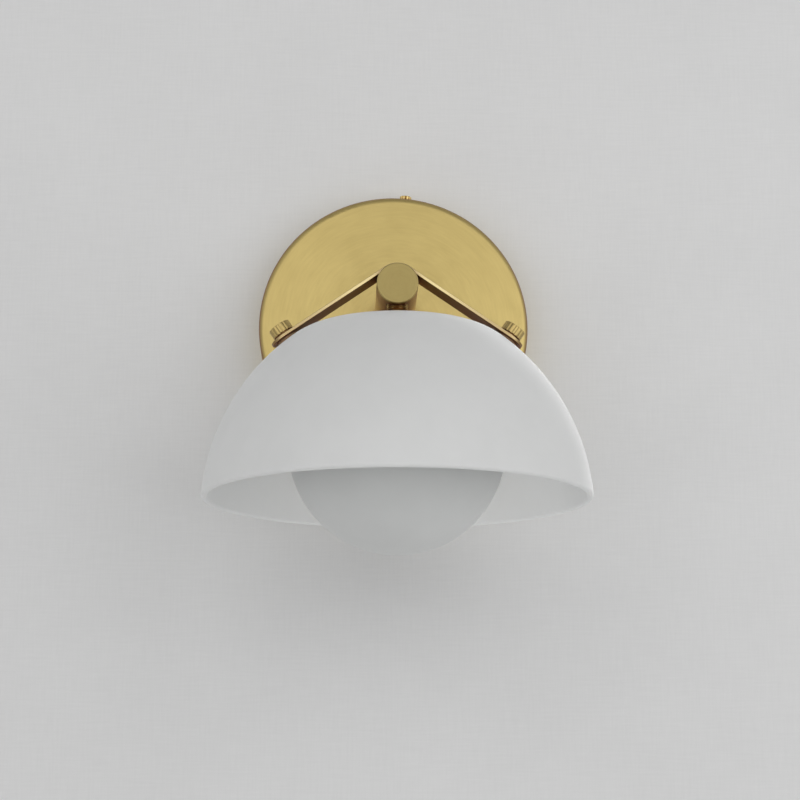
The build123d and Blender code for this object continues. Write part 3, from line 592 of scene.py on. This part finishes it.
def extent(node, foot, axis):
    """Lowest and highest place of a node along an axis, and its least and greatest distance from it."""
    foot, axis = Vector(foot), Vector(axis).normalized()
    heights, radii = [], []
    for vertex in frame["nodes"][node].data.vertices:
        offset = vertex.co - foot
        height = offset.dot(axis)
        heights.append(height)
        radii.append((offset - axis * height).length)
    return min(heights), max(heights), min(radii), max(radii)


def soften(points, radius, closed=False, steps=3):
    """An outline of (radius, height) points with its corners rounded."""
    points = [Vector(point) for point in points]
    count = len(points)
    result = []
    for index, point in enumerate(points):
        if not closed and index in (0, count - 1):
            result.append(point)
            continue
        before, after = points[index - 1] - point, points[(index + 1) % count] - point
        cut = min(radius, 0.45 * before.length, 0.45 * after.length)
        first, last = point + before.normalized() * cut, point + after.normalized() * cut
        for step in range(steps + 1):
            t = step / steps
            result.append(first * (1 - t) ** 2 + point * (2 * t * (1 - t)) + last * t**2)
    return result


def new_piece(name, vertices, faces, material, body, replaced=()):
    """A mesh piece that rides on a body, with its finish and the nodes that it stands for."""
    mesh = bpy.data.meshes.new(name)
    mesh.from_pydata([tuple(vertex) for vertex in vertices], [], faces)
    mesh.validate()
    mesh.polygons.foreach_set("use_smooth", [True] * len(mesh.polygons))
    mesh.set_sharp_from_angle(angle=SHARP_ANGLE)
    mesh.materials.append(material)
    piece = bpy.data.objects.new(name, mesh)
    bpy.context.scene.collection.objects.link(piece)
    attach(piece, body)
    if replaced:
        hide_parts(*replaced)
    return piece


def turned_mesh(outline, foot, axis, closed, segments=96, shape=None):
    """Vertices and faces of an outline of (radius, height) turned about an axis. An open outline starts and
    ends on the axis. shape(radius, height, angle) may change the radius."""
    turn, foot = basis(axis), Vector(foot)
    vertices, rings, faces = [], [], []
    for radius, height in outline:
        if radius < HAIR:
            rings.append([len(vertices)] * segments)
            vertices.append(foot + turn @ Vector((0, 0, height)))
            continue
        ring = []
        for index in range(segments):
            angle = FULL_TURN * index / segments
            reach = shape(radius, height, angle) if shape else radius
            ring.append(len(vertices))
            vertices.append(foot + turn @ Vector((reach * math.cos(angle), reach * math.sin(angle), height)))
        rings.append(ring)
    pairs = list(zip(rings, rings[1:] + rings[:1])) if closed else list(zip(rings, rings[1:]))
    for low, high in pairs:
        for index in range(segments):
            following = (index + 1) % segments
            corners = [low[index], low[following], high[following], high[index]]
            faces.append(list(dict.fromkeys(corners)))
    return vertices, faces


def flutes(count, radius, depth, outside):
    """A shape with round grooves in a head of a given outside radius."""
    centre = outside + radius - depth

    def shape(reach, height, angle):
        turn = FULL_TURN / count
        off = (angle + turn / 2) % turn - turn / 2
        swing = centre * math.sin(off)
        if abs(swing) >= radius:
            return reach
        groove = centre * math.cos(off) - math.sqrt(radius**2 - swing**2)
        return min(reach, groove)

    return shape


def thread(low, high, crest, pitch):
    """A shape with a right-handed thread between two heights."""
    depth = THREAD_DEPTH * pitch

    def shape(reach, height, angle):
        if reach < crest - CREST_SLACK or not low <= height <= high:
            return reach
        phase = (height / pitch - angle / FULL_TURN) % 1
        valley = 1 - min(abs(2 * phase - 1) * THREAD_FLANK, 1)
        lead = min((high - height), (height - low), pitch) / pitch
        return reach - depth * (1 - (1 - valley) * max(lead, 0))

    return shape


def thread_rows(low, high, radius, pitch):
    """Outline points along a thread, close enough to carry it."""
    count = max(2, round((high - low) / pitch * ROWS_A_PITCH))
    return [(radius, low + (high - low) * row / count) for row in range(count + 1)]


def dress(material, *nodes):
    """Gives a finish to nodes whose shape stays."""
    for name in nodes:
        mesh = frame["nodes"][name].data
        mesh.materials.clear()
        mesh.materials.append(material)


def washer(name, node, foot, axis, body, material):
    """A washer with its edges broken, in place of a plain ring."""
    hardware = bpy.context.scene.sconce_hardware
    low, high, inner, outer = extent(node, foot, axis)
    corners = [(inner, low), (outer, low), (outer, high), (inner, high)]
    outline = soften(corners, hardware.edge_round, closed=True)
    vertices, faces = turned_mesh(outline, foot, axis, closed=True)
    return new_piece(name, vertices, faces, material, body, [node])


def threaded_tube(name, node, foot, axis, body, material):
    """A length of threaded tube in place of a plain one."""
    hardware = bpy.context.scene.sconce_hardware
    low, high, inner, outer = extent(node, foot, axis)
    rows = thread_rows(low, high, outer, hardware.tube_pitch)
    outline = [(inner, low), *rows, (inner, high)]
    shape = thread(low, high, outer, hardware.tube_pitch)
    vertices, faces = turned_mesh(outline, foot, axis, closed=True, segments=64, shape=shape)
    return new_piece(name, vertices, faces, material, body, [node])


def cut_screw(node, washer_node, foot, axis, outline, shape, segments, metal):
    """A screw with its thread and grooved head in place of a plain one, and the washer under the head."""
    vertices, faces = turned_mesh(outline, foot, axis, closed=False, segments=segments, shape=shape)
    new_piece(f"{node}_cut", vertices, faces, metal, node, [node])
    washer(f"{washer_node}_ring", washer_node, foot, axis, washer_node, metal)


# --------------------------------------------------------------------------------------------------
# Operators
# --------------------------------------------------------------------------------------------------


class SCONCE_OT_canopy(bpy.types.Operator):
    """Finish the canopy, the mounting bar and the ground screw"""

    bl_idname = "sconce.canopy"
    bl_label = "Canopy"

    def execute(self, context):
        looks = context.scene.sconce_finishes
        face = brass_turned(
            "brass_canopy",
            (0, 0, 0),
            WALLWARD,
            values={"Lines": 900.0, "Streaks": 5.0},
            # reach of the painted shade near the canopy's corners
            reach=8.0,
            clouds=0.08,
            anisotropy=0.4,
            around="Y",
            # painted shade on the canopy's rounded edge
            rim=looks.brass_rim_shade,
        )
        dress(face, "canopy")
        dress(zinc_plate("zinc_bar"), "mounting_bar")
        green = plate("green_plate", tuple(looks.ground_green), 0.36, (700, 700, 700))
        dress(green, "ground_screw")
        return {"FINISHED"}


class SCONCE_OT_side_screws(bpy.types.Operator):
    """Turn the two knurled screws that hold the canopy, and their washers"""

    bl_idname = "sconce.side_screws"
    bl_label = "Canopy screws"

    def execute(self, context):
        hardware = context.scene.sconce_hardware
        for end in ENDS:
            joint = JOINTS[f"canopy_screw_turn_{end}"]
            foot, axis = joint["pos_m"], joint["axis"]
            metal = brass_turned(
                f"brass_canopy_screw_{end}", foot, axis, values={"Lines": 2600.0}, tone=1.35, warmth=0.03,
                rough=context.scene.sconce_finishes.knob_rough - 0.06,
            )
            node = f"canopy_screw_{end}"
            low, high, _, head_radius = extent(node, foot, axis)
            head_foot = high - hardware.side_head
            crest, edge = hardware.side_shank_radius, hardware.side_edge
            head = soften(
                [
                    (crest, head_foot),
                    (head_radius - edge, head_foot),
                    (head_radius, head_foot + edge),
                    (head_radius, high - edge),
                    (head_radius - edge, high),
                    (0, high),
                ],
                hardware.edge_round,
            )
            rows = thread_rows(low, head_foot, crest, hardware.screw_pitch)
            groove_turn = FULL_TURN / hardware.knurls
            cut_thread = thread(low, head_foot - SIDE_RUN_OUT, crest, hardware.screw_pitch)

            def shape(reach, height, angle):
                if height < head_foot:
                    return cut_thread(reach, height, angle)
                off = abs((angle + groove_turn / 2) % groove_turn - groove_turn / 2) * head_radius
                groove = head_radius - max(hardware.knurl_depth - off, 0)
                return min(reach, groove)

            outline = [(0, low), *rows, *head]
            segments = STEPS_A_GROOVE * hardware.knurls
            cut_screw(node, f"canopy_screw_washer_{end}", foot, axis, outline, shape, segments, metal)
        return {"FINISHED"}


class SCONCE_OT_post(bpy.types.Operator):
    """Finish the post and its cap, and thread its root"""

    bl_idname = "sconce.post"
    bl_label = "Post"

    def execute(self, context):
        centre = (0, 0, 0)
        tube = brass_turned(
            "brass_post",
            centre,
            WALLWARD,
            values={"Lines": 1500.0},
            tone=0.88,
            warmth=0.09,
            # reach of the painted shade, wide enough to darken the tube's underside above the dome
            reach=18.0,
            anisotropy=0.4,
            around="Y",
        )
        cap = brass_turned(
            "brass_cap",
            centre,
            WALLWARD,
            values={"Lines": 1700.0},
            tone=0.63,
            clouds=0.06,
            around="Y",
            # painted highlight and wear on the cap's rounded edge
            rim=context.scene.sconce_finishes.brass_worn_highlight,
        )
        dress(tube, "post_tube", "post_bush", "yoke_block")
        dress(cap, "post_cap")
        zinc = zinc_plate("zinc_nipple")
        dress(zinc, "post_lock_nut")
        threaded_tube("post_nipple_threaded", "post_nipple", centre, WALLWARD, "sconce", zinc)
        washer("post_washer_ring", "post_washer", centre, WALLWARD, "sconce", zinc)
        return {"FINISHED"}


class SCONCE_OT_yoke(bpy.types.Operator):
    """Finish the bent yoke and the screw that holds it"""

    bl_idname = "sconce.yoke"
    bl_label = "Yoke"

    def execute(self, context):
        axis = Vector(JOINTS["thumb_turn_right"]["axis"])
        slope = math.atan2(axis.x, axis.z)
        values = {"Slope": -slope, "Stretch": (70, 1600, 1600)}
        edge = context.scene.sconce_finishes.brass_cut_edge_highlight
        # reach=18.0 spreads painted shade over the yoke's underside near the dome; edge lightens its cut
        # edges as a painted highlight
        metal = brass("brass_yoke", drawn_grain(), values, tone=0.6, warmth=0.08, reach=18.0, edge=edge)
        dress(metal, "yoke")
        screw = brass_turned("brass_yoke_screw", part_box("yoke_screw")[0], UP)
        dress(screw, "yoke_screw")
        return {"FINISHED"}


class SCONCE_OT_thumb_screws(bpy.types.Operator):
    """Turn the two fluted thumb screws and their washers"""

    bl_idname = "sconce.thumb_screws"
    bl_label = "Thumb screws"

    def execute(self, context):
        hardware = context.scene.sconce_hardware
        for side in SIDES:
            joint = JOINTS[f"thumb_turn_{side}"]
            foot, axis = joint["pos_m"], joint["axis"]
            metal = brass_turned(
                f"brass_thumb_{side}", foot, axis, values={"Lines": 2200.0}, tone=0.88, warmth=0.03,
                rough=context.scene.sconce_finishes.knob_rough,
            )
            node = f"thumb_screw_{side}"
            low, high, _, head_radius = extent(node, foot, axis)
            head_foot = high - hardware.thumb_head
            step_foot = head_foot - hardware.thumb_shoulder
            crest, edge = hardware.thumb_shank_radius, hardware.thumb_edge
            head = soften(
                [
                    (crest, step_foot),
                    (hardware.thumb_shoulder_radius, step_foot),
                    (hardware.thumb_shoulder_radius, head_foot),
                    (head_radius - edge, head_foot),
                    (head_radius, head_foot + edge),
                    (head_radius, high - edge),
                    (head_radius - edge, high),
                    (0, high),
                ],
                hardware.edge_round,
            )
            rows = thread_rows(low, step_foot, crest, hardware.screw_pitch)
            cut_flutes = flutes(
                hardware.thumb_flutes, hardware.flute_radius, hardware.flute_depth, head_radius
            )
            cut_thread = thread(low, step_foot - THUMB_RUN_OUT, crest, hardware.screw_pitch)

            def shape(reach, height, angle):
                if height < step_foot:
                    return cut_thread(reach, height, angle)
                return cut_flutes(reach, height, angle) if height >= head_foot - HAIR else reach

            outline = [(0, low), *rows, *head]
            segments = STEPS_A_GROOVE * hardware.thumb_flutes
            cut_screw(node, f"thumb_washer_{side}", foot, axis, outline, shape, segments, metal)
        return {"FINISHED"}


class SCONCE_OT_glass(bpy.types.Operator):
    """Finish the opal dome and the opal globe"""

    bl_idname = "sconce.glass"
    bl_label = "Opal glass"

    def execute(self, context):
        looks = context.scene.sconce_finishes
        dress(satin_glass("opal_dome", 1.5, looks.dome_depth), "dome_shade")
        dress(satin_glass("opal_globe", 1.0, looks.globe_depth), "globe")
        return {"FINISHED"}


class SCONCE_OT_seats(bpy.types.Operator):
    """Finish the grommets, nuts and gaskets that seat the glass"""

    bl_idname = "sconce.seats"
    bl_label = "Glass seats"

    def execute(self, context):
        looks = context.scene.sconce_finishes
        # grommets and gaskets take the brown of painted shade
        soft = speckled("silicone", looks.silicone, 0.55, 0.4 * MM, 0.06, soak=0.3, relief=0.02 * MM)
        dress(soft, "crown_gasket_upper", "crown_gasket_lower", "globe_gasket")
        dress(soft, *[f"dome_grommet_{side}" for side in SIDES])
        for side in SIDES:
            joint = JOINTS[f"thumb_turn_{side}"]
            foot, axis = joint["pos_m"], joint["axis"]
            metal = brass_turned(f"brass_cap_nut_{side}", foot, axis, values={"Lines": 2200.0})
            dress(metal, f"dome_cap_nut_{side}")
            node = f"dome_nut_washer_{side}"
            washer(f"{node}_ring", node, foot, axis, "sconce", metal)
        return {"FINISHED"}


class SCONCE_OT_stem(bpy.types.Operator):
    """Thread the stem and finish the collar, the fitter and the lampholder's bracket"""

    bl_idname = "sconce.stem"
    bl_label = "Stem and fitter"

    def execute(self, context):
        low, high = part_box("stem")
        foot = ((low.x + high.x) / 2, (low.y + high.y) / 2, 0)
        smooth = context.scene.sconce_finishes.knob_rough
        metal = brass_turned("brass_stem", foot, UP, values={"Lines": 1800.0}, rough=smooth)
        dress(metal, "stem_collar", "globe_fitter")
        threaded_tube("stem_threaded", "stem", foot, UP, "sconce", metal)
        zinc = zinc_plate("zinc_bracket")
        dress(zinc, "stem_lock_nut", "lampholder_bracket", "lampholder_screws")
        return {"FINISHED"}


class SCONCE_OT_lamp(bpy.types.Operator):
    """Finish the lampholder and the capsule lamp, and wind its filament"""

    bl_idname = "sconce.lamp"
    bl_label = "Lampholder and lamp"

    coil_radius: length("Coil radius", "Radius of the filament's coil", 0.9)
    wire_radius: length("Wire radius", "Radius of the filament's wire", 0.14)
    coil_turns: number("Coil turns", "Turns of the filament's coil", 14)

    def execute(self, context):
        looks = context.scene.sconce_finishes
        dress(speckled("ceramic", looks.ceramic, 0.75, 0.5 * MM, 0.10), "lampholder")
        glass = clear_glass("lamp_glass")
        dress(glass, "lamp_envelope", "lamp_base")
        wire, tree, shader = new_material("tungsten")
        smudges_and_shade = place_group(tree, smudge_and_painted_shade(), {"Smudge Size": 0.002})
        dark = tuple(0.5 * part for part in looks.tungsten)
        tint = blend_colours(tree, smudges_and_shade.outputs["Smudge"], opaque(looks.tungsten), opaque(dark))
        tree.links.new(tint, shader.inputs["Base Color"])
        shader.inputs["Metallic"].default_value = 1.0
        shader.inputs["Roughness"].default_value = 0.4
        dress(wire, "lamp_pins")
        low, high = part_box("lamp_envelope")
        centre = (low + high) / 2
        self.wind_filament(context, wire, centre, low.z, high.z)
        return {"FINISHED"}

    def wind_filament(self, context, wire, centre, bottom, top):
        """The coil across the envelope's middle, and the two legs that carry it."""
        coil_height = bottom + 0.42 * (top - bottom)
        half, elbow, steps_a_turn = 3.2 * MM, 0.6 * MM, 12
        coil_half = 0.8 * half
        curve = bpy.data.curves.new("lamp_filament", "CURVE")
        curve.dimensions = "3D"
        curve.bevel_depth = self.wire_radius
        curve.bevel_resolution = 3
        total = self.coil_turns * steps_a_turn
        path = [Vector((-half, 0, top - coil_height)), Vector((-half, 0, elbow))]
        for step in range(total + 1):
            angle = FULL_TURN * step / steps_a_turn
            across = -coil_half + 2 * coil_half * step / total
            sideways, upward = self.coil_radius * math.cos(angle), self.coil_radius * math.sin(angle)
            path.append(Vector((across, sideways, upward)))
        path += [Vector((half, 0, elbow)), Vector((half, 0, top - coil_height))]
        spline = curve.splines.new("POLY")
        spline.points.add(len(path) - 1)
        for point, place in zip(spline.points, path):
            point.co = (centre.x + place.x, centre.y + place.y, coil_height + place.z, 1)
        curve.materials.append(wire)
        piece = bpy.data.objects.new("lamp_filament", curve)
        context.scene.collection.objects.link(piece)
        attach(piece, "lamp")


class SCONCE_OT_leads(bpy.types.Operator):
    """Finish the two leads and their connectors"""

    bl_idname = "sconce.leads"
    bl_label = "Leads"

    def execute(self, context):
        looks = context.scene.sconce_finishes
        dress(braided("black_braid", looks.black_braid), "lead_live")
        dress(braided("white_braid", looks.white_braid), "lead_neutral")
        plastic = speckled("orange_plastic", looks.connector, 0.4, 0.3 * MM, 0.15, soak=0.1, relief=0.02 * MM)
        dress(plastic, "wire_connectors")
        return {"FINISHED"}


class SCONCE_OT_stage(bpy.types.Operator):
    """Set up the wall, the floor, the soft lamps and the camera"""

    bl_idname = "sconce.stage"
    bl_label = "Stage"

    def execute(self, context):
        settings = context.scene.sconce_stage
        self.set_world(context, settings)
        self.add_wall(context, settings)
        self.add_floor(context, settings)
        for name, setting, place, size in LAMPS:
            self.add_lamp(context, name, getattr(settings, setting), Vector(place), size)
        self.add_camera(context, settings)
        context.scene.view_settings.view_transform = "Standard"
        return {"FINISHED"}

    def set_world(self, context, settings):
        """Even light all round, and a pale background for the eye, metal and glass."""
        world = bpy.data.worlds.new("room")
        world.use_nodes = True
        tree = world.node_tree
        tree.nodes.clear()
        seen = seen_rays(tree)
        room = add_node(tree, "ShaderNodeBackground", {"Color": (1, 1, 1, 1), "Strength": settings.room})
        place = add_node(tree, "ShaderNodeTexCoord").outputs["Generated"]
        parts = add_node(tree, "ShaderNodeSeparateXYZ", {"Vector": place})
        steep = spread(tree, maths(tree, "ABSOLUTE", parts.outputs["Z"]), 0.1, 0.8)
        tint = blend_colours(tree, steep, opaque(settings.backdrop), opaque(settings.ceiling))
        pale = add_node(tree, "ShaderNodeBackground", {"Color": tint, "Strength": 1.0})
        both = add_node(tree, "ShaderNodeMixShader", {0: seen, 1: room.outputs[0], 2: pale.outputs[0]})
        output = add_node(tree, "ShaderNodeOutputWorld")
        tree.links.new(both.outputs[0], output.inputs["Surface"])
        context.scene.world = world

    def add_plane(self, context, name, corners, material):
        """A flat sheet of the stage."""
        mesh = bpy.data.meshes.new(name)
        mesh.from_pydata(corners, [], [(0, 1, 2, 3)])
        mesh.materials.append(material)
        plane = bpy.data.objects.new(name, mesh)
        context.scene.collection.objects.link(plane)
        plane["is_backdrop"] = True
        return plane

    def add_wall(self, context, settings):
        """A painted wall that faces the room and is clear from behind."""
        made, tree, shader = new_material("wall_paint")
        place = object_place(tree)
        upright = noise(tree, vector_maths(tree, "MULTIPLY", place, (900, 1, 60)), 1.0, 2.0, 0.6)
        sideways = noise(tree, vector_maths(tree, "MULTIPLY", place, (60, 1, 900)), 1.0, 2.0, 0.6)
        cloud = noise(tree, place, 14.0, 2.0, 0.5)
        weave = maths(tree, "ADD", upright, sideways)
        mottle = maths(tree, "MULTIPLY_ADD", cloud, 1.0, weave)
        dark = opaque(tuple(0.95 * part for part in settings.wall))
        tint = blend_colours(tree, spread(tree, mottle, 1.1, 1.9), opaque(settings.wall), dark)
        tree.links.new(tint, shader.inputs["Base Color"])
        shader.inputs["Roughness"].default_value = 0.85
        shader.inputs["Specular IOR Level"].default_value = 0.2
        bump(tree, shader, weave, 0.15, WALL_RELIEF)
        clear = add_node(tree, "ShaderNodeBsdfTransparent")
        behind = add_node(tree, "ShaderNodeNewGeometry").outputs["Backfacing"]
        mixed = add_node(
            tree, "ShaderNodeMixShader", {0: behind, 1: shader.outputs[0], 2: clear.outputs[0]}
        )
        tree.links.new(mixed.outputs[0], tree.nodes["Material Output"].inputs["Surface"])
        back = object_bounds()[1].y + WALL_GAP
        wide, low, high = STAGE_HALF_WIDTH, FLOOR_LEVEL, WALL_TOP
        corners = [(-wide, back, low), (wide, back, low), (wide, back, high), (-wide, back, high)]
        wall = self.add_plane(context, "wall", corners, made)
        wall.visible_shadow = False

    def add_floor(self, context, settings):
        """A plain floor, well below the light."""
        made, tree, shader = new_material("floor_paint")
        place = object_place(tree)
        grain = noise(tree, place, 60.0, 3.0, 0.6)
        seen = seen_rays(tree)
        plain = blend_colours(tree, seen, opaque(settings.floor), opaque(settings.floor_seen))
        faint = maths(tree, "MULTIPLY", spread(tree, grain, *MOST_NOISE), 0.06)
        tint = blend_colours(tree, faint, plain, (0, 0, 0, 1))
        tree.links.new(tint, shader.inputs["Base Color"])
        shader.inputs["Roughness"].default_value = 0.8
        wide, near, low = STAGE_HALF_WIDTH, STAGE_NEAR, FLOOR_LEVEL
        corners = [(-wide, near, low), (wide, near, low), (wide, wide, low), (-wide, wide, low)]
        self.add_plane(context, "floor", corners, made)

    def add_lamp(self, context, name, brightness, place, size):
        """A soft square lamp that faces the light. brightness is that of a white sheet there."""
        data = bpy.data.lights.new(name, "AREA")
        data.size = size
        data.energy = brightness * math.pi**2 * (LAMP_TARGET - place).length_squared
        lamp = bpy.data.objects.new(name, data)
        lamp.location = place
        lamp.rotation_euler = (LAMP_TARGET - place).to_track_quat("-Z", "Y").to_euler()
        lamp.visible_camera = False
        context.scene.collection.objects.link(lamp)

    def add_camera(self, context, settings):
        """The camera, which stands low and looks up a little."""
        yaw, pitch = settings.camera_yaw, settings.camera_pitch
        ahead = Vector((math.sin(yaw) * math.cos(pitch), math.cos(yaw) * math.cos(pitch), math.sin(pitch)))
        right = Vector((math.cos(yaw), -math.sin(yaw), 0))
        turn = Matrix((right, right.cross(ahead), -ahead)).transposed()
        data = bpy.data.cameras.new("camera")
        data.lens = settings.camera_lens
        data.sensor_width = SENSOR_WIDTH
        data.sensor_fit = "AUTO"
        data.clip_start, data.clip_end = 0.01, 50
        camera = bpy.data.objects.new("camera", data)
        camera.matrix_world = Matrix.Translation(Vector(settings.camera_place)) @ turn.to_4x4()
        context.scene.collection.objects.link(camera)
        context.scene.camera = camera


class SCONCE_PT_sidebar(bpy.types.Panel):
    """Lists the steps and settings of the wall light"""

    bl_idname = "SCONCE_PT_sidebar"
    bl_label = "Wall Light"
    bl_space_type = "VIEW_3D"
    bl_region_type = "UI"
    bl_category = "Wall Light"

    def draw(self, context):
        scene = context.scene
        column = self.layout.column(align=True)
        for operator in STEPS:
            column.operator(operator.bl_idname)
        for title, settings in (
            ("Finishes", scene.sconce_finishes),
            ("Hardware", scene.sconce_hardware),
            ("Stage", scene.sconce_stage),
        ):
            box = self.layout.box()
            box.label(text=title)
            for name in settings.__annotations__:
                box.prop(settings, name)


STEPS = (
    SCONCE_OT_canopy,
    SCONCE_OT_side_screws,
    SCONCE_OT_post,
    SCONCE_OT_yoke,
    SCONCE_OT_thumb_screws,
    SCONCE_OT_glass,
    SCONCE_OT_seats,
    SCONCE_OT_stem,
    SCONCE_OT_lamp,
    SCONCE_OT_leads,
    SCONCE_OT_stage,
)
SETTINGS = {
    "sconce_finishes": SconceFinishes,
    "sconce_hardware": SconceHardware,
    "sconce_stage": SconceStage,
}


def register():
    """Registers the settings, the operators and the panel."""
    for cls in (*SETTINGS.values(), *STEPS, SCONCE_PT_sidebar):
        bpy.utils.register_class(cls)
    for name, cls in SETTINGS.items():
        setattr(bpy.types.Scene, name, PointerProperty(type=cls))


def unregister():
    """Takes them away again."""
    for name in SETTINGS:
        delattr(bpy.types.Scene, name)
    for cls in reversed((*SETTINGS.values(), *STEPS, SCONCE_PT_sidebar)):
        bpy.utils.unregister_class(cls)


def main():
    """Runs every step in order."""
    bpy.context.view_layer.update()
    register()
    for operator in STEPS:
        group, action = operator.bl_idname.split(".")
        getattr(getattr(bpy.ops, group), action)()


if __name__ == "__main__":
    main()
